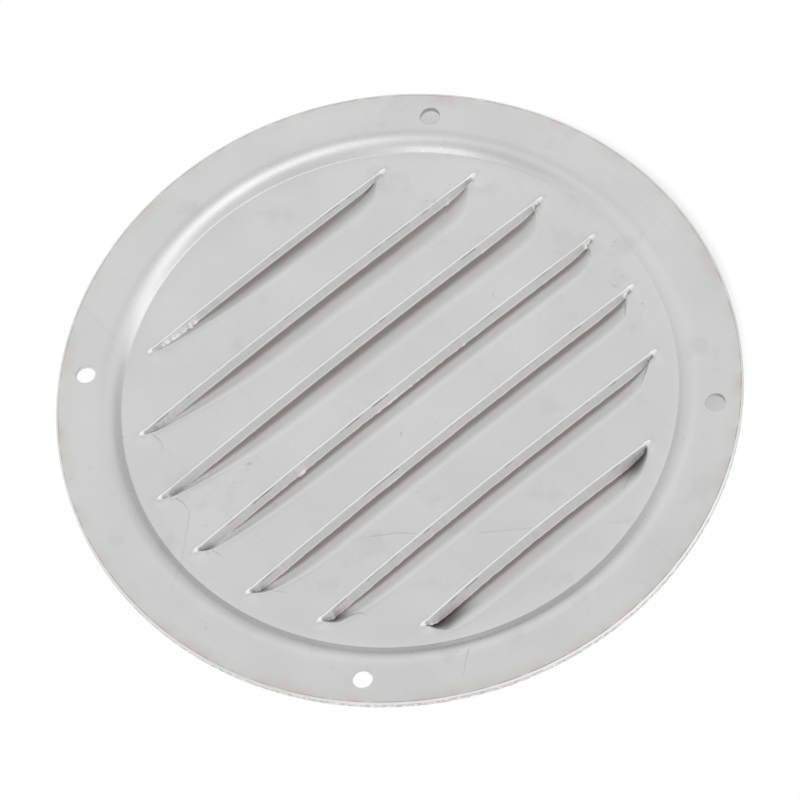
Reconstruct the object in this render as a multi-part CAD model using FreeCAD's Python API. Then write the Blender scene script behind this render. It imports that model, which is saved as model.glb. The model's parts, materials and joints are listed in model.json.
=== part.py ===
import FreeCAD, Part

import math
import os

# Round louvred vent cover, pressed from one sheet, lying with its hollow back face up.
# Frame: origin at the centre of the flange's back face, +Z out of that face, +X along the slits.
# Millimetres and degrees.

# Blank and flange
flange_d = 127.0
sheet_t = 1.5
flange_w = 7.6
rim_round = 0.3

# Dished centre
dish_depth = 2.1
wall_slope = 46.0
flange_bend_r = 5.5
dish_bend_r = 0.4

# Screw holes
hole_d = 3.7
hole_edge = 5.0
hole_count = 4
hole_start = 44.0

# Louvres
slit_pitch = 12.95
slit_offset = 0.7
tip_margin = 3.9
lip_w = 5.5
louvre_gap = 2.1
shear_lean = 36.0

# Worked out from the sizes above
rim_r = flange_d / 2
dish_top = -dish_depth
bend_sum = flange_bend_r + dish_bend_r
slope = math.radians(wall_slope)
wall_drop = dish_depth - bend_sum * (1 - math.cos(slope))
wall_run = wall_drop / math.tan(slope)
bend_start_r = rim_r - flange_w
disc_r = bend_start_r - bend_sum * math.sin(slope) - wall_run
tip_r = disc_r - tip_margin
lip_drop = sheet_t + louvre_gap
lip_r = (lip_w**2 + lip_drop**2) / (2 * lip_drop)
lip_turn = math.asin(lip_w / lip_r)
toe_run = sheet_t * math.tan(math.radians(shear_lean))
rows_each_side = int((tip_r - lip_w) / slit_pitch)
through = sheet_t + dish_depth + lip_drop

UP = FreeCAD.Vector(0, 0, 1)


def point_rz(r, z):
    """A point of a section that is turned about the Z axis."""
    return FreeCAD.Vector(r, 0, z)


def bend_point(centre_r, centre_z, radius, degrees):
    """A point on a bend, counted anticlockwise from outward."""
    angle = math.radians(degrees)
    return point_rz(centre_r + radius * math.cos(angle), centre_z + radius * math.sin(angle))


def bend(centre_r, centre_z, radius, start, end):
    """An arc of the section from one direction to another, in degrees."""
    directions = (start, (start + end) / 2, end)
    return Part.Arc(*[bend_point(centre_r, centre_z, radius, d) for d in directions]).toShape()


def joined_face(parts):
    """A face from pieces of outline, with straight lines between their ends."""
    edges = []
    for piece, following in zip(parts, parts[1:] + parts[:1]):
        edges.append(piece)
        leave = piece.lastVertex(True).Point
        arrive = following.firstVertex(True).Point
        if leave.distanceToPoint(arrive) > 1e-6:
            edges.append(Part.makeLine(leave, arrive))
    return Part.Face(Part.Wire(edges))


def pressed_sheet():
    """The blank with its dished centre: flat disc, sloping wall and flat flange, one thickness throughout."""
    flange_bend_z = -flange_bend_r
    dish_bend_z = dish_top + dish_bend_r
    tilt = 90 + wall_slope
    section = [
        Part.makeLine(point_rz(0, dish_top - sheet_t), point_rz(0, dish_top)),
        bend(disc_r, dish_bend_z, dish_bend_r, 270, tilt + 180),
        bend(bend_start_r, flange_bend_z, flange_bend_r, tilt, 90),
        bend(rim_r - rim_round, -rim_round, rim_round, 90, 0),
        bend(rim_r - rim_round, rim_round - sheet_t, rim_round, 0, -90),
        bend(bend_start_r, flange_bend_z, flange_bend_r - sheet_t, 90, tilt),
        bend(disc_r, dish_bend_z, dish_bend_r + sheet_t, tilt + 180, 270),
    ]
    return joined_face(section).revolve(FreeCAD.Vector(), UP, 360)


def lip_arc(x, slit_y, radius, turn_from, turn_to):
    """An arc across the lip. Turn 0 is where the lip leaves the disc, lip_turn is at the slit."""
    turns = (turn_from, (turn_from + turn_to) / 2, turn_to)
    points = []
    for turn in turns:
        y = slit_y - lip_w + radius * math.sin(turn)
        z = dish_top - lip_r + radius * math.cos(turn)
        points.append(FreeCAD.Vector(x, y, z))
    return Part.Arc(*points).toShape()


def lip_section(x, slit_y):
    """The lip cut square to its slit: level with the disc at one side, bent down at the slit."""
    upper = lip_arc(x, slit_y, lip_r, 0, lip_turn)
    lower = lip_arc(x, slit_y, lip_r - sheet_t, lip_turn, 0)
    return joined_face([upper, lower])


def lip_window(slit_y, straight_half):
    """The half-stadium of sheet that one lip is pressed from, as a solid through the disc."""
    z = dish_top + sheet_t
    diagonal = lip_w * math.sqrt(0.5)
    right = FreeCAD.Vector(straight_half, slit_y, z)
    left = FreeCAD.Vector(-straight_half, slit_y, z)
    out = FreeCAD.Vector(lip_w, 0, 0)
    back = FreeCAD.Vector(0, -lip_w, 0)
    right_middle = right + FreeCAD.Vector(diagonal, -diagonal, 0)
    left_middle = left + FreeCAD.Vector(-diagonal, -diagonal, 0)
    right_end = Part.Arc(right + out, right_middle, right + back).toShape()
    left_end = Part.Arc(left + back, left_middle, left - out).toShape()
    return joined_face([right_end, left_end]).extrude(FreeCAD.Vector(0, 0, -3 * sheet_t))


def pressed_lip(slit_y, straight_half):
    """The lip itself: a straight run with a quarter-round end that fades out at each tip of the slit."""
    run = lip_section(-straight_half, slit_y).extrude(FreeCAD.Vector(2 * straight_half, 0, 0))
    ends = []
    for side in (-1, 1):
        centre = FreeCAD.Vector(side * straight_half, slit_y, 0)
        ends.append(lip_section(centre.x, slit_y).revolve(centre, UP, side * 90))
    return run.multiFuse(ends)


def sheared_toe(slit_y, slit_half):
    """What the leaning shear leaves standing on the level side of the slit, below its upper edge."""
    corners = [(0, 0), (-toe_run, -sheet_t), (0, -sheet_t), (0, 0)]
    points = [FreeCAD.Vector(-slit_half, slit_y + y, dish_top + z) for y, z in corners]
    return Part.Face(Part.makePolygon(points)).extrude(FreeCAD.Vector(2 * slit_half, 0, 0))


def louvre_rows():
    """Each slit's place and half length: evenly spaced rows whose tips lie on one circle, a little off centre."""
    for row in range(-rows_each_side, rows_each_side + 1):
        from_middle = row * slit_pitch
        yield from_middle + slit_offset, math.sqrt(tip_r**2 - from_middle**2)


def screw_holes():
    """The four drilled holes, as solids through the flange."""
    holes = []
    for number in range(hole_count):
        angle = math.radians(hole_start + number * 360 / hole_count)
        circle_r = rim_r - hole_edge
        foot = FreeCAD.Vector(circle_r * math.cos(angle), circle_r * math.sin(angle), -through)
        holes.append(Part.makeCylinder(hole_d / 2, 2 * through, foot))
    return holes


def vent_plate():
    """The whole cover as one solid."""
    windows = []
    lips = []
    for slit_y, slit_half in louvre_rows():
        straight_half = slit_half - lip_w
        toe = sheared_toe(slit_y, slit_half)
        windows.append(lip_window(slit_y, straight_half).cut(toe))
        lips.append(pressed_lip(slit_y, straight_half).cut(toe))
    blank = pressed_sheet().cut(windows + screw_holes())
    return blank.multiFuse(lips).removeSplitter()


os.makedirs("parts", exist_ok=True)
vent_plate().exportStep("parts/vent_plate.step")
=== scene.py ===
"""Round louvred vent cover: the pressed sheet in its bare metal finish, lying on a pale floor."""

import json
import math
from typing import NamedTuple

import bpy
from bpy.props import FloatProperty, FloatVectorProperty, IntProperty, PointerProperty
from mathutils import Matrix, Vector, noise
from mathutils.geometry import delaunay_2d_cdt


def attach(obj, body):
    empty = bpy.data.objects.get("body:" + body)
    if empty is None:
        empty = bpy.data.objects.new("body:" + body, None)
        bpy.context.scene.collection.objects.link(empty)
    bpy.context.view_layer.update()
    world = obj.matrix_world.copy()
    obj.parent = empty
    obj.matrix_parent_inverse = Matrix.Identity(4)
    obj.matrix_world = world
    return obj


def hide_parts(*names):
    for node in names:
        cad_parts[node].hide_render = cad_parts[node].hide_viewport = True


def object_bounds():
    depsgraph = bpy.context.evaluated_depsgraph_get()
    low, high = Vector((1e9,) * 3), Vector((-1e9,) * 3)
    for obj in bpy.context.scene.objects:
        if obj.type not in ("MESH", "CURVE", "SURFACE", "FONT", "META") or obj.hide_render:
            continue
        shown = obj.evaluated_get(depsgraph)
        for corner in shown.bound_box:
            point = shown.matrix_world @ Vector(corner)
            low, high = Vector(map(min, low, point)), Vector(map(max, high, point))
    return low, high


bl_info = {
    "name": "Louvred vent cover",
    "version": (1, 0, 0),
    "blender": (4, 5, 0),
    "location": "View3D > Sidebar > Vent cover",
    "description": "Builds a round pressed vent cover and a pale studio around it",
    "category": "Add Mesh",
}

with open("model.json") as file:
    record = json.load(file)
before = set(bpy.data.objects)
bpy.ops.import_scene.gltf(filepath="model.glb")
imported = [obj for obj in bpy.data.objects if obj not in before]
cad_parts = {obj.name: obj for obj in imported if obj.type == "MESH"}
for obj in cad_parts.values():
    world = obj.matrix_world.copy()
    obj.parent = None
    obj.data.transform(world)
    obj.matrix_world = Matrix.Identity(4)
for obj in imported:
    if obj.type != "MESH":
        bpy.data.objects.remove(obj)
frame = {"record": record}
CAD_LOW, CAD_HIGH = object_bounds()
MM = 0.001
CAD_WIDE = round((CAD_HIGH[0] - CAD_LOW[0]) / MM, 1)
SCREWS = next(m for m in frame["record"]["mounts"] if m["name"] == "screw_holes")["dims"]


def length(label, words, millimetres):
    """A length that a user may change, with its default in millimetres."""
    metres = millimetres * MM
    return FloatProperty(name=label, description=words, default=metres, unit="LENGTH", precision=5)


def angle(label, words, degrees):
    """An angle that a user may change, with its default in degrees."""
    return FloatProperty(name=label, description=words, default=math.radians(degrees), unit="ROTATION")


def share(label, words, value):
    """A plain number from 0 to 1."""
    return FloatProperty(name=label, description=words, default=value, min=0, max=1)


def colour(label, words, value):
    """A colour that a user may change."""
    return FloatVectorProperty(
        name=label, description=words, default=value, subtype="COLOR", size=4, min=0, max=1
    )


class VentSheetSizes(bpy.types.PropertyGroup):
    """Sizes of the pressed sheet"""

    flange_d: length("Flange diameter", "Across the round flange", CAD_WIDE)
    sheet_t: length("Sheet thickness", "Thickness of the metal", 1.5)
    flange_w: length("Flange width", "Flat ring outside the dished centre", 7.6)
    rim_roll_w: length("Rim roll width", "Width of the worn upper edge of the rim", 0.4)
    rim_roll_h: length("Rim roll height", "Height of the worn upper edge of the rim", 0.2)
    rim_round: length("Rim rounding", "Small radius on the lower edge of the rim", 0.15)
    dish_depth: length("Dish depth", "How far the centre is sunk below the flange", 2.1)
    wall_slope: angle("Wall slope", "Slope of the wall around the centre", 46)
    flange_bend_r: length("Flange bend", "Radius where the wall leaves the flange", 5.5)
    dish_bend_r: length("Centre bend", "Radius where the wall meets the centre", 0.5)
    hole_circle_d: length("Screw circle", "Diameter through the hole centres", SCREWS["pcd_mm"])
    hole_d: length("Hole diameter", "Diameter of each screw hole", 2 * SCREWS["hole_r_mm"])
    hole_start: angle("First hole", "Angle of the first hole from the slits", 44)
    hole_edge: length("Hole edge", "Rounding at the mouth of each hole", 0.18)
    slit_pitch: length("Slit pitch", "Distance from one slit to the next", 12.95)
    slit_drift: length("Slit drift", "Unevenness of the pitch from the middle slit outward", -0.08)
    slit_offset: length("Slit offset", "How far the tips of the slits sit off the middle", 0.35)
    slit_rows: IntProperty(
        name="Rows each side", description="Slits on each side of the middle one", default=3
    )
    tip_circle_d: length("Tip circle", "Circle that the tips of the slits lie on", 94.9)
    lip_w: length("Lip width", "Width of the pressed lip beside a slit", 5.5)
    lip_drop: length("Lip drop", "How far the lip is pressed down at its slit", 3.6)
    tear_fade: length("Tear fade", "How quickly the torn end of a lip drops", 0.5)
    tear_run: length("Tear run", "How quickly a tear opens to its width from the tip", 0.9)
    tear_reach: length("Tear reach", "How far from its tip the torn end of a lip keeps its own curve", 2.5)
    lip_curve: FloatProperty(
        name="Lip curve", description="1 is a straight lip, 2 one that bends evenly", default=1.7
    )
    fold_h: length("Fold height", "Sharp ridge along the folded ends of a lip", 0.1)
    fold_w: length("Fold width", "Half width of that ridge", 0.25)
    slit_clearance: length("Slit clearance", "Gap between the lip's end and the sheared edge", 0.05)
    edge_roll_w: length("Rolled edge width", "Width of the rounded upper edge of a slit", 0.36)
    edge_roll_h: length("Rolled edge height", "Drop of the rounded upper edge of a slit", 0.2)
    toe_run: length("Shear lean", "How far the sheared edge leans out below", 1.08)
    tip_edge: share("Tip edge", "Height of the sheared edge at the very tip, against its full height", 0.15)
    burr_full: length("Full burr", "A torn burr this far out is bright all over", 0.35)
    burr_shine: share("Burr shine", "How much of the sheared edge a full burr brightens", 0.7)
    ridge_h: length("Ridge height", "Low ridge where a lip leaves the flat sheet", 0.01)
    tip_step_run: length("Tip step run", "How far the step of a slit runs on past its tip", 1.05)
    tip_step_h: length("Tip step height", "Height of the step at the tip of a slit", 0.45)


class VentSheetFinish(bpy.types.PropertyGroup):
    """Colours and gloss of the bare metal"""

    sheet_colour: colour("Sheet", "Bare rolled surface", (0.775, 0.775, 0.772, 1))
    shear_colour: colour("Sheared edge", "Torn metal in the slits", (0.72, 0.712, 0.712, 1))
    rim_colour: colour("Rim", "Cut metal at the rim and in burrs", (0.9, 0.89, 0.87, 1))
    # Real brownish soil near the rim; on the lips the same colour is painted shade, darkest beside the
    # slit.
    soil_and_lip_shade_colour: colour("Soil", "Brownish film near the rim and on the lips", (0.62, 0.58, 0.52, 1))
    # Dark colour for specks, dashes, the seam and scratches; in creases, torn gaps and the line at the rim
    # it is painted shade.
    dark_mark_and_painted_shade_colour: colour("Marks", "Dirt in creases, scratches and torn gaps", (0.07, 0.065, 0.06, 1))
    sheet_roughness: share("Sheet roughness", "Roughness of the rolled surface", 0.32)
    drawn_roughness: share("Drawn roughness", "Roughness added where a lip is drawn", 0.2)
    shear_roughness: share("Edge roughness", "Roughness of the sheared edge", 0.5)


class VentStage(bpy.types.PropertyGroup):
    """Camera and floor"""

    camera_distance: length("Camera distance", "From the centre of the flange", 807.9)
    camera_azimuth: angle("Camera azimuth", "Turn of the camera around the cover", -28.7)
    camera_elevation: angle("Camera elevation", "Height of the camera above the floor", 61.2)
    camera_roll: angle("Camera roll", "Tilt of the picture", 12.7)
    camera_lens: FloatProperty(name="Lens", description="Focal length", default=197.9, unit="CAMERA")
    floor_colour: colour("Floor", "Pale floor under the cover", (0.9, 0.9, 0.9, 1))


class Tip(NamedTuple):
    """How one end of a slit is torn, with lengths in millimetres."""

    torn: float  # Share of the lip's drop that is torn at once
    width: float  # Width of the tear
    run: float  # Where the fold beyond the tear begins to widen
    widen: float  # How fast the fold widens
    fade: float  # How slowly the lip deepens
    foot: float  # How slowly the sheared edge grows
    curve: float  # How the lip bends there, as in lip_curve
    gap: float  # How dark the torn gap is
    gap_run: float  # How far the torn gap runs


class RowTear(NamedTuple):
    """How one slit and its lip came out of the press."""

    left: Tip
    right: Tip
    bow: float  # How far the slit bows in the middle, in millimetres
    deep: float  # Depth of the lip against the usual one
    wide: float  # Width of the lip against the usual one
    tall: float  # Height of the sheared edge against the usual one


# The slits from the lowest row to the highest.
ROW_TEARS = (
    RowTear(
        Tip(0.70, 3.5, 0.0, 0.50, 5.0, 1.3, 1.2, 0.92, 8.5),
        Tip(0.85, 1.4, 0.3, 0.80, 4.0, 1.8, 1.3, 0.93, 7.0),
        bow=0.75, deep=1.00, wide=1.12, tall=1.10,
    ),
    RowTear(
        Tip(0.65, 2.6, 0.0, 0.30, 5.0, 0.9, 1.2, 1.0, 4.5),
        Tip(0.65, 1.2, 1.7, 0.85, 4.0, 2.4, 0.7, 1.0, 2.2),
        bow=0.80, deep=0.97, wide=0.98, tall=1.00,
    ),
    RowTear(
        Tip(0.60, 1.7, 0.0, 0.40, 5.0, 1.1, 1.1, 1.0, 3.2),
        Tip(0.65, 1.2, 1.7, 1.50, 4.5, 2.4, 0.6, 1.0, 2.0),
        bow=0.75, deep=0.97, wide=1.00, tall=0.94,
    ),
    RowTear(
        Tip(0.50, 1.7, 0.0, 0.22, 5.0, 1.5, 0.9, 1.0, 2.8),
        Tip(0.65, 1.2, 1.5, 1.70, 4.5, 2.4, 0.6, 1.0, 2.0),
        bow=0.80, deep=0.97, wide=1.00, tall=1.00,
    ),
    RowTear(
        Tip(0.50, 1.3, 0.0, 0.25, 4.0, 1.3, 0.8, 0.6, 4.5),
        Tip(0.60, 1.2, 1.7, 1.60, 4.5, 2.4, 0.6, 1.0, 2.0),
        bow=0.75, deep=1.00, wide=1.22, tall=0.96,
    ),
    RowTear(
        Tip(0.40, 1.2, 0.0, 0.25, 5.0, 2.0, 0.9, 0.5, 4.5),
        Tip(0.50, 1.1, 1.8, 1.40, 5.5, 2.4, 0.9, 0.4, 2.0),
        bow=0.70, deep=1.00, wide=1.25, tall=0.95,
    ),
    RowTear(
        Tip(0.45, 1.0, 0.0, 0.20, 4.0, 1.8, 0.9, 0.2, 40.0),
        Tip(0.40, 0.9, 1.8, 1.30, 6.0, 2.4, 1.2, 0.2, 40.0),
        bow=0.40, deep=0.78, wide=1.00, tall=0.75,
    ),
)

# Torn burrs on the foot of a slit: row, middle, half length and height in millimetres.
BURRS = (
    (3, -22.0, 4.6, 0.7),
    (3, 25.9, 0.9, 0.3),
    (2, -36.0, 1.0, 0.3),
    (2, 33.2, 0.6, 0.25),
    (1, -44.8, 0.7, 0.25),
    (1, 31.4, 0.6, 0.28),
    (1, 44.4, 0.9, 0.6),
    (0, -23.2, 0.9, 0.42),
    (0, -1.5, 6.5, 0.2),
    (0, 7.0, 2.2, 0.28),
    (0, 15.0, 0.9, 0.4),
    (0, 46.2, 0.9, 0.6),
    (-1, -44.2, 0.8, 0.22),
    (-1, -11.3, 2.0, 0.22),
    (-1, 44.4, 0.9, 0.6),
    (-2, -38.2, 0.8, 0.2),
    (-2, 38.4, 0.9, 0.6),
    (-3, -25.5, 1.2, 0.2),
)

# Creases that run from the tips into the lips, with painted shade in them, and darkened scratches: depth of
# colour and points in millimetres.
CREASES = (
    (0.35, ((-38.8, 24.1), (-38.7, 22.0), (-39.9, 20.3))),
    (0.45, ((-43.9, 11.3), (-43.5, 9.3), (-43.9, 7.3))),
    (0.4, ((-45.6, -1.6), (-45.1, -3.9))),
    (0.6, ((-43.4, -14.1), (-41.1, -17.5))),
    (0.85, ((-38.5, -26.9), (-33.6, -29.7), (-33.2, -30.6))),
    (0.8, ((-24.8, -40.4), (-19.8, -41.8), (-16.7, -42.7))),
    (0.6, ((44.0, 12.2), (43.7, 10.9))),
    (0.7, ((45.7, -1.2), (44.7, -2.9))),
    (0.6, ((43.0, -14.2), (40.9, -16.8))),
    (0.6, ((37.0, -27.2), (33.0, -29.7))),
    (1.0, ((22.4, -40.1), (20.4, -41.5), (17.4, -42.9))),
)
SCRATCHES = (
    (0.25, ((-27.3, -16.0), (-18.6, -21.9), (-10.3, -30.1), (1.9, -39.2), (13.1, -48.3), (18.7, -50.2))),
    (0.3, ((-24.5, -49.2), (-29.1, -52.9))),
    (0.2, ((-43.5, 7.6), (-51.2, 0.4), (-56.8, -4.1))),
)

# Slit rows: where the drift of the pitch is nil, as a row number squared.
DRIFT_NIL = 2

# Lip width: the least at a tip in millimetres, and how sharply the tear turns into the fold and the lip.
LEAST_WIDTH = 0.05
WIDTH_BLEND = 4

# Unevenness of torn metal: strength, fineness, shift from row to row, and layer of each wave.
TOE_WAVES = ((1.0, 0.9, 7.3, 0.5), (1.0, 2.6, 3.7, 4.5))
TOE_ROUGH = 0.06
BURR_WAVES = ((1.0, 1.9, 5.1, 2.5), (0.7, 4.3, 5.1, 7.5))

# Burrs: height of the fine ones in millimetres, how unbroken the large ones are and how sharply they
# end, and the distance from a tip at which all are full.
FINE_BURR = 0.05
BURR_COVER = 0.45
BURR_SHARPNESS = 4
BURR_END = 0.4 * MM

# Lip: the least rest of its width that still sets its tilt, and the steepest tilt of its front face.
LEAST_REST = 0.02
STEEPEST = math.radians(50)

# Spread of the ridge beside a lip, against the lip's width; the reach and strength of the left and the
# right fold, and the distance from a tip at which a fold is full.
RIDGE_SPREAD = 0.22
FOLD_RUNS = ((14 * MM, 1.0), (4 * MM, 0.6))
FOLD_START = 1 * MM

# Dark gap at a tip: its widest and least spread, its share of the open lip, its start and its sharpness.
GAP_WIDEST = 2.6 * MM
GAP_LEAST = 0.2 * MM
GAP_SHARE = 0.7
GAP_START = 0.5 * MM
GAP_SHARPNESS = 4

# Halvings in the search for the place where a lip meets its sheared edge.
HALVINGS = 10

# Places along a slit: the least number, their distance, and the share that is evenly spaced.
LEAST_PLACES = 24
PLACE_STEP = 0.23 * MM
EVEN_SHARE = 0.5


class SlitRow:
    """One slit: its place, its half length and the shape of the lip beside it."""

    def __init__(self, sizes, number):
        self.number = number
        self.sizes = sizes
        from_middle = number * sizes.slit_pitch + (number * number - DRIFT_NIL) * sizes.slit_drift
        self.y = from_middle + sizes.slit_offset
        self.half = math.sqrt((sizes.tip_circle_d / 2) ** 2 - from_middle**2)
        tear = ROW_TEARS[(number + sizes.slit_rows) % len(ROW_TEARS)]
        self.left = tear.left
        self.right = tear.right
        self.tall = tear.tall
        self.bow = tear.bow * MM
        self.depth = tear.deep * sizes.lip_drop
        self.full_width = tear.wide * sizes.lip_w
        self.burrs = [burr[1:] for burr in BURRS if burr[0] == number]

    def line(self, x):
        """The slit's own line, bowed a little in the middle."""
        return self.y + self.bow * max(0.0, 1 - (x / self.half) ** 2)

    def from_tip(self, x):
        """Distance along the slit from the nearer tip."""
        return max(0.0, self.half - abs(x))

    def ends(self, x):
        """Both tips, each with the distance to it."""
        return (self.left, max(0.0, self.half + x)), (self.right, max(0.0, self.half - x))

    def width(self, x):
        """How wide the lip is: narrow where it is torn at its tips, then folding out to its full width."""
        limits = [self.full_width / MM]
        for tip, along in self.ends(x):
            torn = tip.width * (1 - math.exp(-along / self.sizes.tear_run))
            limits.append(LEAST_WIDTH + torn + tip.widen * max(0.0, along / MM - tip.run))
        return MM * sum(limit**-WIDTH_BLEND for limit in limits) ** (-1 / WIDTH_BLEND)

    def drop(self, x):
        """How deep the lip is at its slit."""
        depth = self.depth
        for tip, along in self.ends(x):
            tear = tip.torn * (1 - math.exp(-along / self.sizes.tear_fade))
            press = (1 - tip.torn) * (1 - math.exp(-along / (tip.fade * MM)))
            depth *= tear + press
        return depth

    def roll(self, x):
        """Drop of the rounded upper edge."""
        return self.sizes.edge_roll_h * (1 - math.exp(-self.from_tip(x) / (2 * self.sizes.edge_roll_w)))

    def reach(self, x):
        """How much of the full height the sheared edge has: less towards each tip, where it is torn."""
        reach = self.tall
        for tip, along in self.ends(x):
            reach *= 1 - (1 - self.sizes.tip_edge) * math.exp(-along / (tip.foot * MM))
        return reach

    def foot(self, x):
        """How deep the foot of the sheared edge lies."""
        return self.sizes.sheet_t * self.reach(x)

    def rough(self, x, waves):
        """Unevenness of the torn metal along the slit."""
        total = 0.0
        for strength, fineness, shift, layer in waves:
            total += strength * noise.noise(Vector((x / MM * fineness, self.number * shift, layer)))
        return total

    def toe(self, x):
        """How far the foot of the sheared edge stands out, with its torn unevenness."""
        return self.sizes.toe_run * self.reach(x) * (1 + TOE_ROUGH * self.rough(x, TOE_WAVES))

    def burr(self, x):
        """How far torn metal stands out at the foot of the sheared edge."""
        rough = self.rough(x, BURR_WAVES)
        height = FINE_BURR * max(0.0, rough) * MM
        for middle, half, tall in self.burrs:
            lump = math.exp(-((x / MM - middle) / half) ** BURR_SHARPNESS)
            height += tall * MM * max(0.0, BURR_COVER + rough) * lump
        return height * min(1.0, self.from_tip(x) / BURR_END)

    def plain(self, x):
        """How much of the sheared edge is plain, against its full height; the rest is bright torn metal."""
        bright = self.sizes.burr_shine * min(1.0, self.burr(x) / self.sizes.burr_full)
        return self.reach(x) * (1 - bright)

    def samples(self):
        """Places along the slit, closer together at the tips."""
        count = max(LEAST_PLACES, round(self.half / PLACE_STEP))
        places = []
        for step in range(count + 1):
            even = 2 * step / count - 1
            crowded = math.sin(math.pi / 2 * even)
            places.append(self.half * (EVEN_SHARE * even + (1 - EVEN_SHARE) * crowded))
        return places

    def fall(self, x, down):
        """Fall and tilt of the lip at a distance from the slit's line, without its ridges."""
        width = self.width(x)
        curve = self.sizes.lip_curve
        for tip, along in self.ends(x):
            near = math.exp(-((along / self.sizes.tear_reach) ** 2))
            curve += (tip.curve - self.sizes.lip_curve) * near
        rest = max(0.0, 1 - down / width)
        drop = self.drop(x)
        tilt = math.atan(curve * drop * max(LEAST_REST, rest) ** (curve - 1) / width)
        return drop * rest**curve, min(tilt, STEEPEST)

    def ridge(self, x, down):
        """Height of the ridges where the lip leaves the flat sheet, sharpest along its folded ends."""
        past = down - self.width(x)
        height = self.sizes.ridge_h * math.exp(-((past / (RIDGE_SPREAD * self.full_width)) ** 2))
        sharp = math.exp(-((past / self.sizes.fold_w) ** 2))
        for (_, along), (reach, strength) in zip(self.ends(x), FOLD_RUNS):
            fold = self.sizes.fold_h * strength * sharp * min(1.0, along / FOLD_START)
            height += fold * math.exp(-((along / reach) ** 2))
        return height

    def lip(self, x, down):
        """Fall and tilt of the lip at a distance from the slit's line."""
        fall, tilt = self.fall(x, down)
        return fall - self.ridge(x, down), tilt

    def stretch(self, x, y):
        """How far the metal of the lip is drawn, from 0 to 1."""
        down = self.line(x) - y
        if down < 0 or abs(x) >= self.half:
            return 0.0
        return max(0.0, 1 - down / self.width(x)) * self.drop(x) / self.depth

    def gap(self, x, down):
        """How much painted shade darkens the torn gap between the sheared edge and the fold beside a tip,
        from 0 to 1.
        """
        toe = self.toe(x)
        spread = min(GAP_WIDEST, GAP_LEAST + GAP_SHARE * max(0.0, self.width(x) - toe))
        across = math.exp(-((max(0.0, down - toe) / spread) ** GAP_SHARPNESS))
        dark = 0.0
        for tip, along in self.ends(x):
            near = min(1.0, along / GAP_START) * math.exp(-((along / (tip.gap_run * MM)) ** GAP_SHARPNESS))
            dark += tip.gap * near * across
        return min(1.0, dark)

    def set_back(self, x):
        """Where the lip comes up to the leaning sheared edge, or else the clearance beside it."""
        toe = self.toe(x)
        clear = self.sizes.slit_clearance
        foot = self.foot(x)
        if toe < clear or self.fall(x, toe)[0] > foot:
            return clear
        low, high = 0.0, toe
        for _ in range(HALVINGS):
            middle = (low + high) / 2
            if self.fall(x, middle)[0] > foot * middle / toe:
                low = middle
            else:
                high = middle
        return clear + high


# Rings of points: steps across the centre's bend, the flange's bend, the flange and the rim,
# the last steps of the rim that round its lower edge, and points around a ring.
DISH_STEPS = 4
BEND_STEPS = 10
FLANGE_STEPS = 5
RIM_STEPS = 6
LOWER_STEPS = 2
RING_POINTS = 400

# Screw holes: points around one, the room that the rings leave, and the distance out and the drop of
# each ring of its mouth, against the rounding.
HOLE_POINTS = 48
HOLE_ROOM = 1.2 * MM
HOLE_RINGS = ((0, 1.0), (0.3, 0.3), (0.65, 0.06), (1, 0), (2.6, 0), (5, 0))

# Step at a tip: how far it reaches across, and along against its run; how much shorter it is inside the
# slit; and where it starts, how wide it rises, where it begins to fade and how fast.
STEP_ACROSS = 3 * MM
STEP_ALONG = 4
STEP_INSIDE = 0.6
STEP_START = 0.5 * MM
STEP_RISE = 0.85 * MM
STEP_TURN = 0.35 * MM
STEP_FADE = 0.9 * MM

# Lines of points beside a slit: above it, against the width of the rounded edge, and down the lip,
# against the lip's width; how far they cover the sheet on each side, with the room beyond them; and how
# far they stay from the centre's edge.
LEVEL_LINES = (-0.12, -0.3, -0.55, -0.9, -1.6)
LIP_LINES = (0.05, 0.12, 0.21, 0.32, 0.45, 0.59, 0.73, 0.85, 0.94, 1.0, 1.06, 1.14, 1.27)
LEVEL_COVER = 1.9
LIP_COVER = 1.3
COVER_ROOM = 0.4 * MM
LIP_MARGIN = 0.3 * MM

# How far from its slit a lip shapes the sheet, against lip_w, and how much a burr lifts the foot there.
LIP_REACH = 1.6
BURR_LIFT = 0.3

# Grid on the centre: distance of its points, and height of a row and margin at the edge against that.
GRID_STEP = 1.5 * MM
GRID_ROW = 0.87
GRID_MARGIN = 0.7

# Rings around a tip: how many, the points on each, the radius that they start from and their distance in
# millimetres, and how far they stay from the centre's edge.
TIP_RINGS = 8
TIP_SPOKES = 24
TIP_START = 0.12
TIP_STEP = 0.33
TIP_MARGIN = 0.2 * MM

# Creases and scratches: distance of their points, lines across and half width of the dark core in
# millimetres, depth of the deepest, and how much is gone at the far end.
STROKE_STEP = 0.18 * MM
STROKE_LINES = (-0.22, -0.09, 0.0, 0.09, 0.22)
STROKE_CORE = 0.17
STROKE_DEPTH = 0.05 * MM
STROKE_FADE = 0.8

# Points of the plan closer than this, in millimetres, are one.
SAME_POINT = 1e-5


def closed(ring):
    """Pairs of neighbours around a ring."""
    return list(zip(ring, ring[1:] + ring[:1]))


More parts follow.
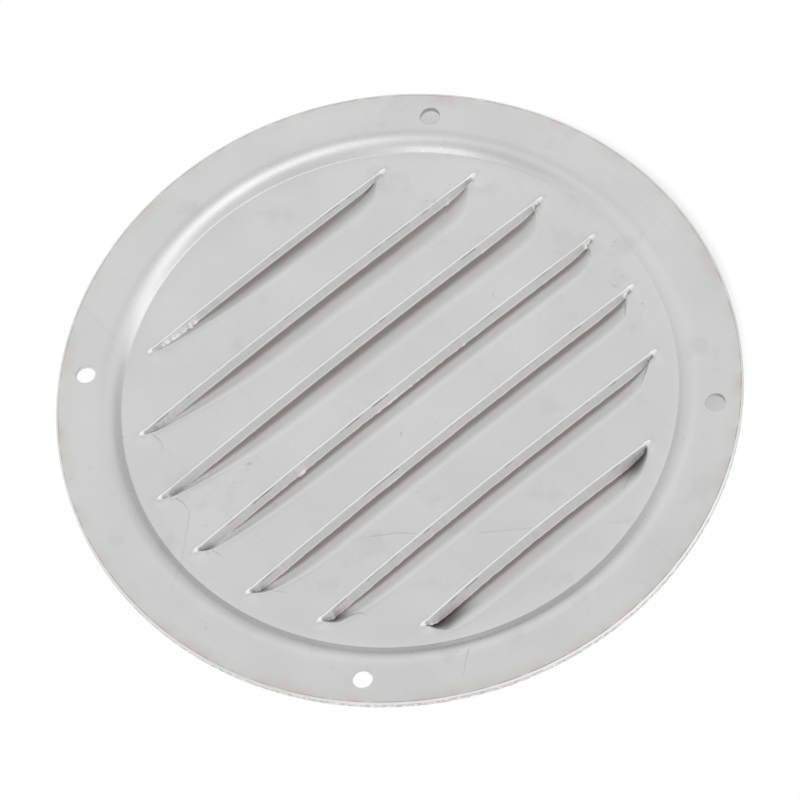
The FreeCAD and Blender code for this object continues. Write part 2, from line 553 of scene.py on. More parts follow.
class SheetPlan:
    """Points of the sheet seen from above, each with its place on the back and on the front face."""

    def __init__(self, sizes):
        self.sizes = sizes
        self.flat = []
        self.back = []
        self.front = []
        self.mark = {}
        self.edges = []
        self.lip_side = {}
        self.strips = []
        self.loops = []
        self.rim_r = sizes.flange_d / 2
        self.bend_start_r = self.rim_r - sizes.flange_w
        bends = sizes.flange_bend_r + sizes.dish_bend_r
        wall_drop = sizes.dish_depth - bends * (1 - math.cos(sizes.wall_slope))
        wall_run = wall_drop / math.tan(sizes.wall_slope)
        self.disc_r = self.bend_start_r - bends * math.sin(sizes.wall_slope) - wall_run
        self.rows = [SlitRow(sizes, n) for n in range(-sizes.slit_rows, sizes.slit_rows + 1)]
        self.hole_centres = []
        for number in range(SCREWS["count"]):
            turn = sizes.hole_start + number * 2 * math.pi / SCREWS["count"]
            self.hole_centres.append(Vector((math.cos(turn), math.sin(turn))) * sizes.hole_circle_d / 2)

    def add(self, back, front):
        """Adds a point and returns its number. The plan itself is in millimetres."""
        self.flat.append(Vector(back[:2]) / MM)
        self.back.append(back)
        self.front.append(front)
        return len(self.flat) - 1

    def ring_sections(self):
        """Radius and height on both faces, for each ring from the centre's edge to the rim."""
        sizes = self.sizes
        t = sizes.sheet_t
        sections = []
        dish_z = -sizes.dish_depth + sizes.dish_bend_r
        near, far = sizes.dish_bend_r, sizes.dish_bend_r + t
        for step in range(DISH_STEPS + 1):
            turn = sizes.wall_slope * step / DISH_STEPS
            out, up = math.sin(turn), math.cos(turn)
            sections.append((self.disc_r + near * out, dish_z - near * up,
                             self.disc_r + far * out, dish_z - far * up))
        bend_z = -sizes.flange_bend_r
        near, far = sizes.flange_bend_r, sizes.flange_bend_r - t
        for step in range(BEND_STEPS + 1):
            turn = sizes.wall_slope * (1 - step / BEND_STEPS)
            out, up = math.sin(turn), math.cos(turn)
            sections.append((self.bend_start_r - near * out, bend_z + near * up,
                             self.bend_start_r - far * out, bend_z + far * up))
        edge = self.rim_r - sizes.rim_roll_w
        for step in range(1, FLANGE_STEPS + 1):
            r = self.bend_start_r + (edge - self.bend_start_r) * step / FLANGE_STEPS
            sections.append((r, 0.0, r, -t))
        for step in range(1, RIM_STEPS + 1):
            turn = math.pi / 2 * step / RIM_STEPS
            lower = sizes.rim_round * max(0, step - RIM_STEPS + LOWER_STEPS) / LOWER_STEPS
            back_r = edge + sizes.rim_roll_w * math.sin(turn)
            back_z = -sizes.rim_roll_h * (1 - math.cos(turn))
            front_r = edge + (sizes.rim_roll_w - sizes.rim_round) * step / RIM_STEPS
            sections.append((back_r, back_z, front_r + lower * step / RIM_STEPS, lower - t))
        return sections

    def near_hole(self, x, y, room):
        """True if a place is within a hole's mouth and the room around it."""
        reach = self.sizes.hole_d / 2 + room
        return any(math.hypot(x - centre.x, y - centre.y) < reach for centre in self.hole_centres)

    def add_rings(self):
        """The pressed wall, the flange and the rim."""
        for back_r, back_z, front_r, front_z in self.ring_sections():
            ring = []
            for step in range(RING_POINTS):
                turn = 2 * math.pi * step / RING_POINTS
                across, along = math.cos(turn), math.sin(turn)
                if not self.near_hole(across * back_r, along * back_r, HOLE_ROOM):
                    ring.append(self.add((across * back_r, along * back_r, back_z),
                                         (across * front_r, along * front_r, front_z)))
            if len(ring) == RING_POINTS:
                self.edges += closed(ring)
        self.loops.append((ring, False))

    def add_holes(self):
        """The screw holes, each with a slightly rounded mouth on both faces."""
        sizes = self.sizes
        for centre in self.hole_centres:
            for out, down in HOLE_RINGS:
                ring = []
                for step in range(HOLE_POINTS):
                    turn = 2 * math.pi * step / HOLE_POINTS
                    reach = sizes.hole_d / 2 + out * sizes.hole_edge
                    x = centre.x + reach * math.cos(turn)
                    y = centre.y + reach * math.sin(turn)
                    fall = down * sizes.hole_edge
                    ring.append(self.add((x, y, -fall), (x, y, fall - sizes.sheet_t)))
                self.edges += closed(ring)
                if out == 0:
                    self.loops.append((ring, True))

    def tip_step(self, x, y):
        """The step that runs on past the tips of the slits and dies out."""
        sizes = self.sizes
        depth = 0.0
        for row in self.rows:
            down = row.line(x) - y
            past = abs(x) - row.half
            if abs(down) > STEP_ACROSS or abs(past) > STEP_ALONG * sizes.tip_step_run:
                continue
            away = past / (sizes.tip_step_run if past > 0 else STEP_INSIDE * sizes.tip_step_run)
            across = min(1.0, max(0.0, (down + STEP_START) / STEP_RISE))
            across = across * across * (3 - 2 * across) * math.exp(-max(0.0, down - STEP_TURN) / STEP_FADE)
            depth += sizes.tip_step_h * across * math.exp(-away * away)
        return depth

    def wall_height(self, r):
        """Height and slope of the back face at a radius."""
        sizes = self.sizes
        low = self.disc_r + sizes.dish_bend_r * math.sin(sizes.wall_slope)
        high = self.bend_start_r - sizes.flange_bend_r * math.sin(sizes.wall_slope)
        if r <= self.disc_r:
            return -sizes.dish_depth, 0.0
        if r < low:
            turn = math.asin((r - self.disc_r) / sizes.dish_bend_r)
            return sizes.dish_bend_r * (1 - math.cos(turn)) - sizes.dish_depth, turn
        if r < high:
            foot = sizes.dish_bend_r * (1 - math.cos(sizes.wall_slope)) - sizes.dish_depth
            return foot + (r - low) * math.tan(sizes.wall_slope), sizes.wall_slope
        if r < self.bend_start_r:
            turn = math.asin((self.bend_start_r - r) / sizes.flange_bend_r)
            return sizes.flange_bend_r * (math.cos(turn) - 1), turn
        return 0.0, 0.0

    def place(self, x, y):
        """Back and front place of any point of the sheet that is not on a slit, a hole or the rim."""
        sizes = self.sizes
        r = math.hypot(x, y)
        back, turn = self.wall_height(r)
        if r > self.disc_r:
            out = 1 + sizes.sheet_t * math.sin(turn) / r
            return (x, y, back), (x * out, y * out, back - sizes.sheet_t * math.cos(turn))
        back -= self.tip_step(x, y)
        front = (x, y, back - sizes.sheet_t)
        for row in self.rows:
            down = row.line(x) - y
            if abs(x) >= row.half or abs(down) > LIP_REACH * sizes.lip_w:
                continue
            if down > 0:
                fall, tilt = row.lip(x, down)
                back -= fall
                front = self.below(x, y, back, tilt)
            elif down > -sizes.edge_roll_w:
                back -= row.roll(x) * (1 + down / sizes.edge_roll_w) ** 2
        return (x, y, back), front

    def stretch(self, x, y):
        """How far the metal is drawn at a place."""
        return max(row.stretch(x, y) for row in self.rows)

    def gap(self, x, y):
        """How much painted shade darkens the torn gaps of the slits at a place."""
        dark = 0.0
        for row in self.rows:
            down = row.line(x) - y
            if abs(x) < row.half and 0 < down < LIP_COVER * row.width(x):
                dark = row.gap(x, down)
        return dark

    def below(self, x, y, back, tilt):
        """The front face's place under a tilted piece of the back face."""
        t = self.sizes.sheet_t
        return (x, y - t * math.sin(tilt), max(back - t * math.cos(tilt), CAD_LOW[2]))

    def lip_end(self, row, x):
        """The lip's own edge at the slit, on the back and on the front face."""
        y = row.line(x) - row.set_back(x)
        fall, tilt = row.lip(x, 0.0)
        back = -self.sizes.dish_depth - self.tip_step(x, y) - fall
        return (x, y, back), self.below(x, y, back, tilt)

    def add_slits(self):
        """Each slit, with lines of points along its rounded edge and down its lip."""
        sizes = self.sizes
        for row in self.rows:
            line = []
            for x in row.samples():
                back, front = self.place(x, row.line(x))
                burr = row.burr(x)
                foot_z = front[2] + sizes.sheet_t - row.foot(x) + BURR_LIFT * burr
                number = self.add(back, (x, back[1] - row.toe(x) - burr, foot_z))
                line.append(number)
                self.lip_side[number] = (row, *self.lip_end(row, x))
            del self.lip_side[line[0]]
            del self.lip_side[line[-1]]
            self.edges += list(zip(line, line[1:]))
            self.strips.append((row, line))
            for x in row.samples()[1:-1]:
                for across in LEVEL_LINES:
                    self.add(*self.place(x, row.line(x) - across * sizes.edge_roll_w))
                clear = row.set_back(x)
                width = row.width(x)
                for across in LIP_LINES:
                    down = max(across * width, clear * (1 + across))
                    y = row.line(x) - down
                    if math.hypot(x, y) < self.disc_r - LIP_MARGIN:
                        number = self.add(*self.place(x, y))
                        self.mark[number] = row.gap(x, down)

    def on_slit(self, row, x, y):
        """True where the slit's own lines of points already cover the sheet."""
        down = row.line(x) - y
        if abs(x) > row.half + COVER_ROOM:
            return False
        return -LEVEL_COVER * self.sizes.edge_roll_w < down < LIP_COVER * row.width(x) + COVER_ROOM

    def add_grid(self):
        """Even points over the rest of the centre."""
        reach = math.ceil(self.disc_r / GRID_STEP)
        for j in range(-reach, reach + 1):
            for i in range(-reach, reach + 1):
                x = (i + 0.5 * (j % 2)) * GRID_STEP
                y = j * GRID_STEP * GRID_ROW
                if math.hypot(x, y) > self.disc_r - GRID_MARGIN * GRID_STEP:
                    continue
                if not any(self.on_slit(row, x, y) for row in self.rows):
                    self.add(*self.place(x, y))

    def add_tips(self):
        """Close points around the tips of the slits."""
        for row in self.rows:
            for ring in range(1, TIP_RINGS + 1):
                out = (TIP_START + TIP_STEP * ring) * MM
                for spoke in range(TIP_SPOKES):
                    turn = 2 * math.pi * (spoke + 0.5 * (ring % 2)) / TIP_SPOKES
                    for side in (-1, 1):
                        x = side * row.half + out * math.cos(turn)
                        y = row.y + out * math.sin(turn)
                        beside = abs(x) > row.half or not self.on_slit(row, x, y)
                        if beside and math.hypot(x, y) < self.disc_r - TIP_MARGIN:
                            self.add(*self.place(x, y))

    def add_stroke(self, depth, corners, near_slits):
        """A fine crease or scratch: a groove along a broken line with darkened points; in a crease the dark
        is painted shade.
        """
        parts = len(corners) - 1
        for part, (start, end) in enumerate(zip(corners, corners[1:])):
            start, end = Vector(start) * MM, Vector(end) * MM
            run = end - start
            aside = Vector((-run.y, run.x)).normalized()
            count = max(1, round(run.length / STROKE_STEP))
            for number in range(count):
                middle = start + run * (number / count)
                fading = 1 - STROKE_FADE * (part + number / count) / parts
                if not near_slits and any(self.on_slit(row, *middle) for row in self.rows):
                    continue
                for off in STROKE_LINES:
                    back, front = self.place(*(middle + aside * off * MM))
                    core = max(0.0, 1 - abs(off) / STROKE_CORE) * fading
                    lowered = (back[0], back[1], back[2] - STROKE_DEPTH * depth * core)
                    self.mark[self.add(lowered, front)] = max(depth * core, self.gap(back[0], back[1]))

    def triangles(self):
        """The sheet cut into triangles, without the holes."""
        found = delaunay_2d_cdt(self.flat, self.edges, [], 0, SAME_POINT, True)
        sources = [ids[0] for ids in found[3]]
        for face in found[2]:
            corners = [sources[v] for v in face]
            middle = sum((self.flat[v] for v in corners), Vector((0, 0))) / 3 * MM
            if not self.near_hole(middle.x, middle.y, 0):
                yield corners, middle


# The two finishes of the sheet, in the order of its material slots.
ROLLED = 0
SHEARED = 1

# Rows of faces down a sheared edge, and the angle from which an edge of the mesh is sharp.
SHEAR_ROWS = 6
SHARP_ANGLE = math.radians(40)


class SheetMesh:
    """Turns the plan into one closed mesh."""

    def __init__(self, plan):
        self.plan = plan
        self.points = list(plan.back) + list(plan.front)
        self.front_from = len(plan.back)
        self.faces = []
        self.finish = []
        self.shear = {}
        self.hem = {}
        self.lip_back = {}
        self.lip_front = {}
        for number, (_, back, front) in plan.lip_side.items():
            self.lip_back[number] = self.add(back)
            self.lip_front[number] = self.add(front)

    def add(self, place):
        """Adds a point of the mesh and returns its number."""
        self.points.append(place)
        return len(self.points) - 1

    def face(self, corners, finish):
        """Adds a face with one of the two finishes."""
        self.faces.append(corners)
        self.finish.append(finish)

    def add_faces(self):
        """The back and the front face of the sheet."""
        for corners, middle in self.plan.triangles():
            back = list(corners)
            front = [v + self.front_from for v in corners]
            for place, number in enumerate(corners):
                if number in self.plan.lip_side and middle.y < self.plan.lip_side[number][0].line(middle.x):
                    back[place] = self.lip_back[number]
                    front[place] = self.lip_front[number]
            self.face(back, ROLLED)
            self.face(front[::-1], ROLLED)

    def column(self, back, front, plain=1.0):
        """Points down a sheared edge from back to front; plain is its share without torn metal."""
        top, foot = Vector(self.points[back]), Vector(self.points[front])
        between = [self.add(top.lerp(foot, step / SHEAR_ROWS)) for step in range(1, SHEAR_ROWS)]
        numbers = [back, *between, front]
        for step, number in enumerate(numbers):
            self.shear[number] = step / SHEAR_ROWS
            self.hem[number] = 1 - min(1.0, plain) * (1 - step / SHEAR_ROWS)
        return numbers

    def strip(self, pairs, outward):
        """Faces between neighbouring columns."""
        for here, there in pairs:
            for step in range(len(here) - 1):
                corners = [here[step], here[step + 1], there[step + 1], there[step]]
                self.face(corners if outward else corners[::-1], SHEARED)

    def add_sheared_edges(self):
        """The rim, the walls of the holes and both sides of each slit."""
        for ring, inside in self.plan.loops:
            columns = [self.column(v, v + self.front_from) for v in ring]
            self.strip(closed(columns), not inside)
        for row, line in self.plan.strips:
            level = [self.column(v, v + self.front_from, row.plain(self.points[v][0])) for v in line]
            lip = [self.column(self.lip_back[v], self.lip_front[v]) for v in line[1:-1]]
            self.strip(zip(level, level[1:]), True)
            lip_side = [level[0], *lip, level[-1]]
            self.strip(zip(lip_side, lip_side[1:]), False)

    def build(self, name):
        """The finished mesh."""
        self.add_faces()
        self.add_sheared_edges()
        mesh = bpy.data.meshes.new(name)
        mesh.from_pydata(self.points, [], self.faces)
        mesh.polygons.foreach_set("material_index", self.finish)
        mesh.polygons.foreach_set("use_smooth", [True] * len(self.faces))
        drawn = {v: self.plan.stretch(*self.points[v][:2]) for v in range(len(self.points))}
        kept = {"shear": self.shear, "hem": self.hem, "mark": self.plan.mark, "drawn": drawn}
        for key, values in kept.items():
            layer = mesh.attributes.new(key, "FLOAT", "POINT")
            layer.data.foreach_set("value", [values.get(v, 0.0) for v in range(len(self.points))])
        mesh.set_sharp_from_angle(angle=SHARP_ANGLE)
        mesh.update()
        return mesh


class Finish:
    """A node material, written as a chain of small steps."""

    def __init__(self, name):
        self.material = bpy.data.materials.new(name)
        self.material.use_nodes = True
        self.tree = self.material.node_tree
        self.shader = self.tree.nodes["Principled BSDF"]
        self.place = self.node("ShaderNodeTexCoord").outputs["Object"]

    def node(self, kind, **values):
        """Adds a node; values are its settings."""
        made = self.tree.nodes.new(kind)
        for key, value in values.items():
            setattr(made, key, value)
        return made

    def link(self, source, target):
        """Joins an output to an input."""
        self.tree.links.new(source, target)

    def attribute(self, name):
        """A value that the mesh carries."""
        return self.node("ShaderNodeAttribute", attribute_name=name).outputs["Fac"]

    def stretched(self, scale, turn=0.0):
        """The object's coordinates, turned about its axis and scaled."""
        mapping = self.node("ShaderNodeMapping")
        mapping.inputs["Rotation"].default_value = (0, 0, turn)
        mapping.inputs["Scale"].default_value = scale
        self.link(self.place, mapping.inputs["Vector"])
        return mapping.outputs["Vector"]

    def radius(self):
        """Distance from the object's axis."""
        made = self.node("ShaderNodeVectorMath", operation="LENGTH")
        self.link(self.stretched((1, 1, 0)), made.inputs[0])
        return made.outputs["Value"]

    def cloud(self, scale, detail, place=None):
        """Soft noise from 0 to 1."""
        made = self.node("ShaderNodeTexNoise")
        made.inputs["Scale"].default_value = scale
        made.inputs["Detail"].default_value = detail
        self.link(place or self.place, made.inputs["Vector"])
        return made.outputs["Fac"]

    def ramp(self, source, low, high, to_low=0.0, to_high=1.0):
        """Maps a range of one value onto another."""
        made = self.node("ShaderNodeMapRange")
        made.inputs["From Min"].default_value = low
        made.inputs["From Max"].default_value = high
        made.inputs["To Min"].default_value = to_low
        made.inputs["To Max"].default_value = to_high
        self.link(source, made.inputs["Value"])
        return made.outputs["Result"]

    def patches(self, scale, detail, low, high, place=None):
        """Patches of noise: none below the low value, full above the high one."""
        return self.ramp(self.cloud(scale, detail, place), low, high)

    def band(self, source, start, full, fade, end):
        """1 where a value lies between full and fade, 0 outside start and end."""
        return self.times(self.ramp(source, start, full), self.ramp(source, end, fade))

    def times(self, first, second):
        """Product of two values."""
        made = self.node("ShaderNodeMath", operation="MULTIPLY")
        self.link(first, made.inputs[0])
        if isinstance(second, float):
            made.inputs[1].default_value = second
        else:
            self.link(second, made.inputs[1])
        return made.outputs["Value"]

    def mix(self, amount, first, second):
        """Mixes two colours by an amount."""
        made = self.node("ShaderNodeMix", data_type="RGBA")
        self.link(amount, made.inputs["Factor"])
        for value, socket in ((first, made.inputs[6]), (second, made.inputs[7])):
            if isinstance(value, bpy.types.NodeSocket):
                self.link(value, socket)
            else:
                socket.default_value = value
        return made.outputs[2]

    def bump(self, height, strength, distance):
        """Fine relief on the surface."""
        made = self.node("ShaderNodeBump")
        made.inputs["Strength"].default_value = strength
        made.inputs["Distance"].default_value = distance
        self.link(height, made.inputs["Height"])
        self.link(made.outputs["Normal"], self.shader.inputs["Normal"])


def shaded(colour_value, factor):
    """A colour made darker or lighter."""
    return (*[min(1.0, c * factor) for c in colour_value[:3]], 1)


# How strongly marks show: smudges, specks, soil and the painted shade line at the rim, the seam around the
# cut rim, and the dashes under the rounded edge of a slit.
SMUDGES = 0.3
SPECKS = 0.25
RIM_SOIL = 0.5
RIM_SHADE_LINE = 0.5
RIM_SEAM = 0.3
EDGE_DASHES = 0.7

# Radii in metres where the soil, the bright worn edge and the cut rim begin and are full, and where the
# painted shade line at the rim begins, is full, fades and ends.
SOIL_RADII = (0.0605, 0.063)
WORN_RADII = (0.06308, 0.06312)
CUT_RADII = (0.0620, 0.0622)
SHADE_LINE_RADII = (0.06298, 0.06304, 0.0631, 0.06316)

# Fine lines of the rolled sheet: turn, stretch and strength.
ROLL_LINES = ((0.5, 900, 0.12), (2.1, 700, 0.1))

# Variation of the sheet's roughness to either side.
ROUGHNESS_SWING = 0.05


def rolled_sheet_finish(look):
    """Bare rolled metal: faint clouds, smudges, lines and specks, a soiled rim, darkened scratches, and
    painted shade on the lips, in the creases and torn gaps and in a line at the rim.
    """
    finish = Finish("rolled_sheet")
    shader = finish.shader
    sheet = look.sheet_colour
    shader.inputs["Metallic"].default_value = 1.0
    clouds = finish.patches(scale=55, detail=3, low=0.35, high=0.65)
    base = finish.mix(clouds, shaded(sheet, factor=0.97), shaded(sheet, factor=1.02))
    smudges = finish.patches(scale=120, detail=3, low=0.6, high=0.7)
    base = finish.mix(finish.times(smudges, SMUDGES), base, shaded(sheet, factor=0.8))
    for turn, stretch, strength in ROLL_LINES:
        along = finish.stretched((stretch, 12, 12), turn)
        lines = finish.patches(scale=1, detail=2, low=0.66, high=0.74, place=along)
        base = finish.mix(finish.times(lines, strength), base, shaded(sheet, factor=0.75))
    fine = finish.patches(scale=700, detail=2, low=0.7, high=0.77)
    groups = finish.patches(scale=60, detail=2, low=0.52, high=0.62)
    specks = finish.times(fine, groups)
    base = finish.mix(finish.times(specks, SPECKS), base, look.dark_mark_and_painted_shade_colour)
    radius = finish.radius()
    film = finish.patches(scale=160, detail=5, low=0.4, high=0.7)
    soil = finish.times(finish.ramp(radius, *SOIL_RADII), film)
    base = finish.mix(finish.times(soil, RIM_SOIL), base, look.soil_and_lip_shade_colour)
    base = finish.mix(finish.ramp(radius, *WORN_RADII), base, look.rim_colour)
    # Painted shade: a broken dark line along the rolled edge of the rim.
    line = finish.band(radius, *SHADE_LINE_RADII)
    line = finish.times(line, finish.patches(scale=320, detail=3, low=0.3, high=0.55))
    base = finish.mix(finish.times(line, RIM_SHADE_LINE), base, look.dark_mark_and_painted_shade_colour)
    drawn = finish.attribute("drawn")
    # Painted shade on the lips: the soil colour darkens each lip towards its slit, where it is drawn
    # deepest.
    base = finish.mix(finish.ramp(drawn, low=0.2, high=1.0, to_high=0.35), base, look.soil_and_lip_shade_colour)
    # Painted shade in the torn gaps and the creases, and the darkened scratches.
    base = finish.mix(finish.attribute("mark"), base, look.dark_mark_and_painted_shade_colour)
    finish.link(base, shader.inputs["Base Color"])
    grain = finish.cloud(scale=2600, detail=2)
    smooth = look.sheet_roughness - ROUGHNESS_SWING
    rough = look.sheet_roughness + ROUGHNESS_SWING
    matt = finish.node("ShaderNodeMath", operation="ADD")
    finish.link(finish.ramp(grain, low=0.3, high=0.7, to_low=smooth, to_high=rough), matt.inputs[0])
    finish.link(finish.ramp(drawn, low=0.0, high=0.6, to_high=look.drawn_roughness), matt.inputs[1])
    finish.link(matt.outputs["Value"], shader.inputs["Roughness"])
    finish.bump(grain, strength=0.04, distance=0.02 * MM)
    return finish.material


def sheared_edge_finish(look):
    """Torn metal with fine lines down the edge and dark gaps under its rounded upper side."""
    finish = Finish("sheared_edge")
    shader = finish.shader
    shader.inputs["Metallic"].default_value = 1.0
    lines = finish.cloud(scale=1, detail=3, place=finish.stretched((2600, 300, 300)))
    dark, light = shaded(look.shear_colour, factor=0.88), shaded(look.shear_colour, factor=1.1)
    base = finish.mix(lines, dark, light)
    shear = finish.attribute("shear")
    hem = finish.attribute("hem")
    base = finish.mix(finish.ramp(hem, low=0.84, high=0.9), base, look.rim_colour)
    specks = finish.patches(scale=1300, detail=2, low=0.4, high=0.6)
    rim = finish.mix(specks, shaded(look.rim_colour, factor=0.72), look.rim_colour)
    seam = finish.band(shear, start=0.4, full=0.47, fade=0.53, end=0.6)
    seam = finish.times(seam, finish.patches(scale=40, detail=3, low=0.42, high=0.6))
    rim = finish.mix(finish.times(seam, RIM_SEAM), rim, look.dark_mark_and_painted_shade_colour)
    base = finish.mix(finish.ramp(finish.radius(), *CUT_RADII), base, rim)
    under = finish.band(shear, start=0.0, full=0.04, fade=0.1, end=0.17)
    along = finish.stretched((240, 200, 0))
    dashes = finish.patches(scale=1, detail=3, low=0.5, high=0.6, place=along)
    groups = finish.patches(scale=75, detail=1, low=0.42, high=0.58)
    dashes = finish.times(finish.times(dashes, groups), EDGE_DASHES)
    base = finish.mix(finish.times(under, dashes), base, look.dark_mark_and_painted_shade_colour)
    finish.link(base, shader.inputs["Base Color"])
    shader.inputs["Roughness"].default_value = look.shear_roughness
    finish.bump(lines, strength=0.3, distance=0.05 * MM)
    return finish.material


class VENT_OT_sheet(bpy.types.Operator):
    """Builds the pressed sheet with its dish, slits, lips and screw holes"""

    bl_idname = "vent.sheet"
    bl_label = "Pressed sheet"

    def execute(self, context):
        sizes = context.scene.vent_sheet_sizes
        look = context.scene.vent_sheet_finish
        plan = SheetPlan(sizes)
        plan.add_rings()
        plan.add_holes()
        plan.add_slits()
        plan.add_grid()
        plan.add_tips()
        for depth, corners in CREASES:
            plan.add_stroke(depth, corners, near_slits=True)
        for depth, corners in SCRATCHES:
            plan.add_stroke(depth, corners, near_slits=False)
        mesh = SheetMesh(plan).build("pressed_sheet")
        mesh.materials.append(rolled_sheet_finish(look))
        mesh.materials.append(sheared_edge_finish(look))
        sheet = bpy.data.objects.new("pressed_sheet", mesh)
        context.scene.collection.objects.link(sheet)
        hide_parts("vent_plate")
        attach(sheet, "root")
        return {"FINISHED"}


# Floor: half its width and its roughness; then the shade under the cover, as its middle, the radii
# where it begins and ends to give way to white, and how white the floor is inside and outside it.
FLOOR_REACH = 3.0
FLOOR_ROUGHNESS = 0.9
SHADE_MIDDLE = (0.0078, 0.0022, 0)
SHADE_INNER = 0.0565
SHADE_OUTER = 0.0595
SHADE_WHITE = 0.25
OPEN_WHITE = 0.99


def floor_finish(tint):
    """Pale floor that reads as white around the cover, and keeps the shade under it."""
    finish = Finish("pale_floor")
    finish.shader.inputs["Base Color"].default_value = tint
    finish.shader.inputs["Roughness"].default_value = FLOOR_ROUGHNESS
    glow = finish.node("ShaderNodeEmission")
    blend = finish.node("ShaderNodeMixShader")
    path = finish.node("ShaderNodeLightPath")
    seen = finish.node("ShaderNodeMath", operation="MAXIMUM")
    through = finish.node("ShaderNodeMath", operation="MAXIMUM")
    finish.link(path.outputs["Is Glossy Ray"], through.inputs[0])
    finish.link(path.outputs["Is Transmission Ray"], through.inputs[1])
    finish.link(path.outputs["Is Camera Ray"], seen.inputs[0])
    finish.link(through.outputs["Value"], seen.inputs[1])
    offset = finish.node("ShaderNodeVectorMath", operation="DISTANCE")
    finish.link(finish.place, offset.inputs[0])
    offset.inputs[1].default_value = SHADE_MIDDLE
    white = finish.ramp(offset.outputs["Value"], SHADE_INNER, SHADE_OUTER, SHADE_WHITE, OPEN_WHITE)
    finish.link(finish.times(seen.outputs["Value"], white), blend.inputs["Fac"])
    finish.link(finish.shader.outputs["BSDF"], blend.inputs[1])
    finish.link(glow.outputs["Emission"], blend.inputs[2])
    finish.link(blend.outputs["Shader"], finish.tree.nodes["Material Output"].inputs["Surface"])
    return finish.material


def add_floor(scene, tint):
    """A wide floor at the lowest point of the cover."""
    signs = ((-1, -1), (1, -1), (1, 1), (-1, 1))
    corners = [(x * FLOOR_REACH, y * FLOOR_REACH, 0) for x, y in signs]
    mesh = bpy.data.meshes.new("floor")
    mesh.from_pydata(corners, [], [(0, 1, 2, 3)])
    mesh.materials.append(floor_finish(tint))
    floor = bpy.data.objects.new("floor", mesh)
    floor.location.z = CAD_LOW[2]
    scene.collection.objects.link(floor)


# Camera: width of its sensor in millimetres and of the picture in pixels, how many pixels to the right
# of and below the flange's centre it aims, and the nearest thing that it sees.
SENSOR = 36
PICTURE = 800
AIM_RIGHT = 2.8
AIM_DOWN = 12.3
NEAREST = 0.01


def add_camera(scene, stage):
    """The camera at the photograph's viewing angle."""
    turn, lift, roll = stage.camera_azimuth, stage.camera_elevation, stage.camera_roll
    wide = Vector((math.cos(turn), math.sin(turn), 0))
    away = Vector((-math.sin(turn), math.cos(turn), 0))
    ahead = away * math.cos(lift) - Vector((0, 0, math.sin(lift)))
    up = wide.cross(ahead)
    right = wide * math.cos(roll) - up * math.sin(roll)
    above = wide * math.sin(roll) + up * math.cos(roll)
    place = -ahead * stage.camera_distance
    pixel = stage.camera_distance / (stage.camera_lens / SENSOR * PICTURE)
    aim = (right * AIM_RIGHT - above * AIM_DOWN) * pixel
    back = (place - aim).normalized()
    right = above.cross(back).normalized()
    above = back.cross(right)
    data = bpy.data.cameras.new("camera")
    data.lens = stage.camera_lens
    data.sensor_width = SENSOR
    data.clip_start = NEAREST
    camera = bpy.data.objects.new("camera", data)
    camera.matrix_world = Matrix.Translation(place) @ Matrix((right, above, back)).transposed().to_4x4()
    scene.collection.objects.link(camera)
    scene.camera = camera


# Soft panels of the room, in order: bearing from the camera's right-hand side, turning away from the
# camera, elevation, half width, softness (all in degrees) and brightness.
PANELS = (
    (70, -10, 50, 36, 0.68),
    (95, 80, 14, 14, 0.66),
    (95, 46, 12, 14, 0.88),
    (60, -14, 20, 12, 0.3),
    (95, -11, 20, 10, 0.2),
    (24, 9, 17, 12, 0.5),
    (217, 47, 13, 12, 0.6),
    (240, 33, 6, 6, 1.7),
    (286, 38, 18, 14, 0.7),
    (350, 17, 9, 7, 1.4),
    (346, 40, 9, 7, 1.3),
    (330, 60, 9, 7, 1.5),
    (300, 71, 8, 7, 1.5),
    (265, 78, 6, 7, 1.25),
)

# Brightness of the room at the horizon and overhead.
HORIZON = 0.77
OVERHEAD = 0.87


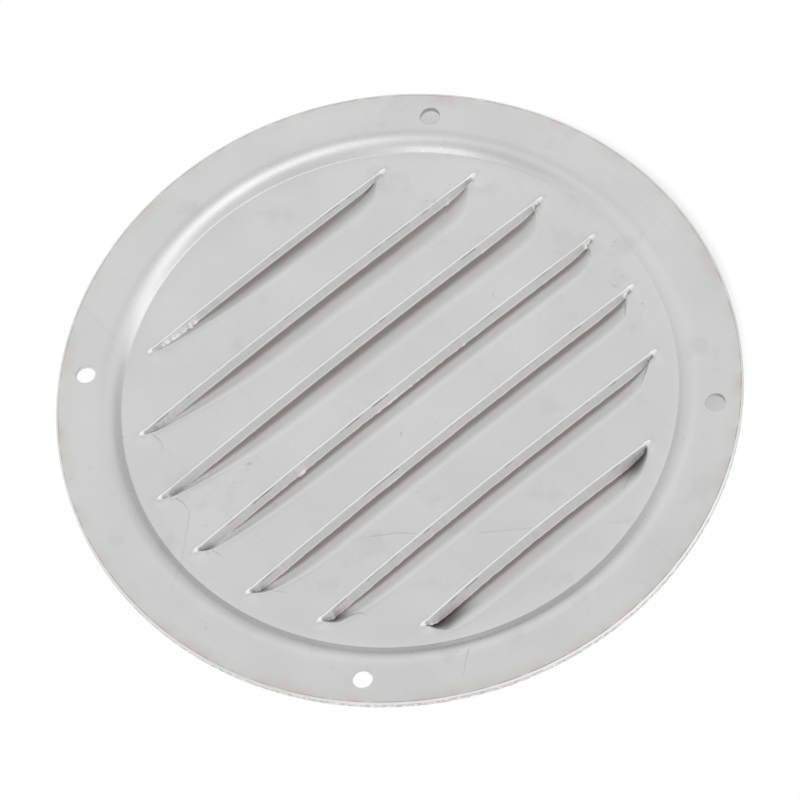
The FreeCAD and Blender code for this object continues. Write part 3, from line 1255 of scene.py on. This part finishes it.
def set_world(scene, stage):
    """A soft room with a few large panels, brighter overhead than at the horizon."""
    world = bpy.data.worlds.new("room")
    world.use_nodes = True
    nodes, links = world.node_tree.nodes, world.node_tree.links
    place = nodes.new("ShaderNodeTexCoord").outputs["Generated"]
    parts = nodes.new("ShaderNodeSeparateXYZ")
    links.new(place, parts.inputs["Vector"])
    height = nodes.new("ShaderNodeMapRange")
    links.new(parts.outputs["Z"], height.inputs["Value"])
    height.inputs["To Min"].default_value = HORIZON
    height.inputs["To Max"].default_value = OVERHEAD
    level = height.outputs["Result"]
    for bearing, elevation, half, soft, brightness in PANELS:
        turn = math.radians(bearing) + stage.camera_azimuth
        lift = math.radians(elevation)
        flat = math.cos(lift)
        toward = nodes.new("ShaderNodeVectorMath")
        toward.operation = "DOT_PRODUCT"
        links.new(place, toward.inputs[0])
        toward.inputs[1].default_value = (math.cos(turn) * flat, math.sin(turn) * flat, math.sin(lift))
        inside = nodes.new("ShaderNodeMapRange")
        inside.interpolation_type = "SMOOTHSTEP"
        inside.inputs["From Min"].default_value = math.cos(math.radians(half + soft))
        inside.inputs["From Max"].default_value = math.cos(math.radians(half - soft / 2))
        links.new(toward.outputs["Value"], inside.inputs["Value"])
        blend = nodes.new("ShaderNodeMix")
        links.new(inside.outputs["Result"], blend.inputs["Factor"])
        links.new(level, blend.inputs["A"])
        blend.inputs["B"].default_value = brightness
        level = blend.outputs["Result"]
    links.new(level, nodes["Background"].inputs["Color"])
    scene.world = world


class VENT_OT_stage(bpy.types.Operator):
    """Sets the floor, the room and the camera"""

    bl_idname = "vent.stage"
    bl_label = "Studio"

    def execute(self, context):
        scene = context.scene
        stage = scene.vent_stage
        add_floor(scene, stage.floor_colour)
        add_camera(scene, stage)
        set_world(scene, stage)
        scene.view_settings.view_transform = "Standard"
        return {"FINISHED"}


class VENT_PT_panel(bpy.types.Panel):
    """Lists the steps and the sizes"""

    bl_label = "Vent cover"
    bl_idname = "VENT_PT_panel"
    bl_space_type = "VIEW_3D"
    bl_region_type = "UI"
    bl_category = "Vent cover"

    def draw(self, context):
        layout = self.layout
        layout.operator("vent.sheet")
        layout.operator("vent.stage")
        scene = context.scene
        for group in (scene.vent_sheet_sizes, scene.vent_sheet_finish, scene.vent_stage):
            for key in group.__annotations__:
                layout.prop(group, key)


CLASSES = (VentSheetSizes, VentSheetFinish, VentStage, VENT_OT_sheet, VENT_OT_stage, VENT_PT_panel)


def register():
    """Registers the classes and hangs the settings on the scene."""
    for item in CLASSES:
        bpy.utils.register_class(item)
    bpy.types.Scene.vent_sheet_sizes = PointerProperty(type=VentSheetSizes)
    bpy.types.Scene.vent_sheet_finish = PointerProperty(type=VentSheetFinish)
    bpy.types.Scene.vent_stage = PointerProperty(type=VentStage)


def unregister():
    """Takes the settings and the classes away again."""
    del bpy.types.Scene.vent_stage
    del bpy.types.Scene.vent_sheet_finish
    del bpy.types.Scene.vent_sheet_sizes
    for item in reversed(CLASSES):
        bpy.utils.unregister_class(item)


def main():
    """Builds the cover and its stage."""
    register()
    bpy.ops.vent.sheet()
    bpy.ops.vent.stage()


if __name__ == "__main__":
    main()
